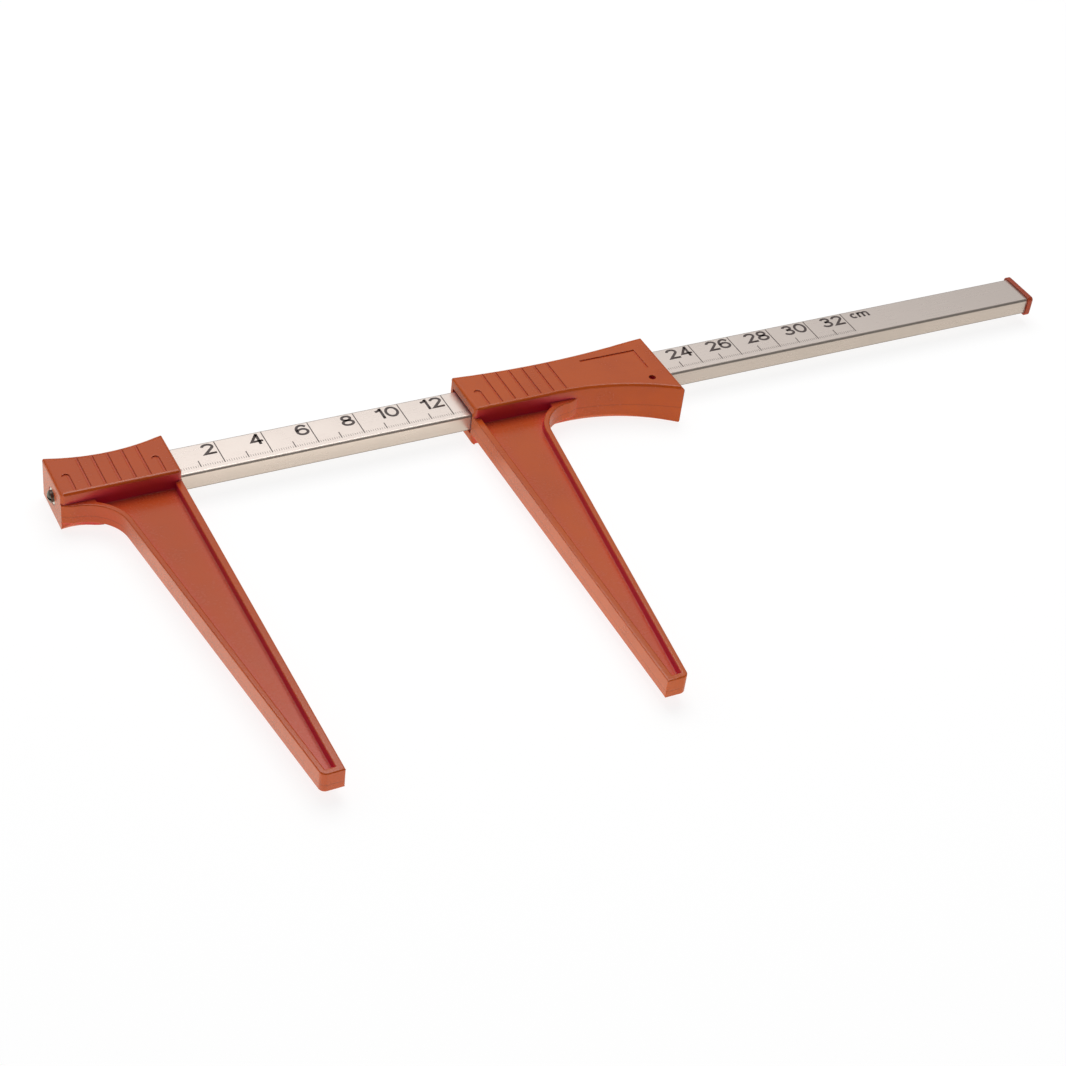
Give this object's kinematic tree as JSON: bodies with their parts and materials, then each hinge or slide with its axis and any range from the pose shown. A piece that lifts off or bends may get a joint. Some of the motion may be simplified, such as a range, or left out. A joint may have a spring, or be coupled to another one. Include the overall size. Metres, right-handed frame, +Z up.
{
  "type": "log caliper",
  "caption": "Log caliper with a hollow metal scale bar, a fixed tapered jaw at the zero end and a matching jaw that slides along the bar to read the diameter of a trunk.",
  "frame": {"origin": "under the middle of the whole caliper, on the plane that the heads rest on, with the sliding jaw at the reading shown", "axes": "+X along the bar from the fixed jaw to the end cap, +Z up out of the scale face, and the legs reach toward -Y"},
  "size_m": [0.4675, 0.1916, 0.0188],
  "materials": {
    "anodised_bar": "satin anodised",
    "moulded_orange": "fine moulded grain",
    "plug_metal": "as cut",
    "plated_steel": "zinc plated",
    "glide_plastic": "smooth"
  },
  "bodies": {
    "beam": {"scale_bar": "anodised_bar", "fixed_jaw": "moulded_orange", "bar_plug": "plug_metal", "plug_pin": "plated_steel", "jaw_screw": "plated_steel", "jaw_washer": "plated_steel", "end_cap": "moulded_orange"},
    "slider": {"sliding_jaw": "moulded_orange", "front_glide_inner": "glide_plastic", "front_glide_outer": "glide_plastic", "back_glide_inner": "glide_plastic", "back_glide_outer": "glide_plastic", "upper_glide_inner": "glide_plastic", "upper_glide_outer": "glide_plastic", "lower_glide_inner": "glide_plastic", "lower_glide_outer": "glide_plastic", "brake_shoe": "glide_plastic", "brake_spring": "plated_steel"}
  },
  "joints": [
    {"name": "jaw_slide", "type": "slide", "parent": "beam", "child": "slider", "axis": [1, 0, 0], "range_m": [-0.1261, 0.194]}
  ]
}
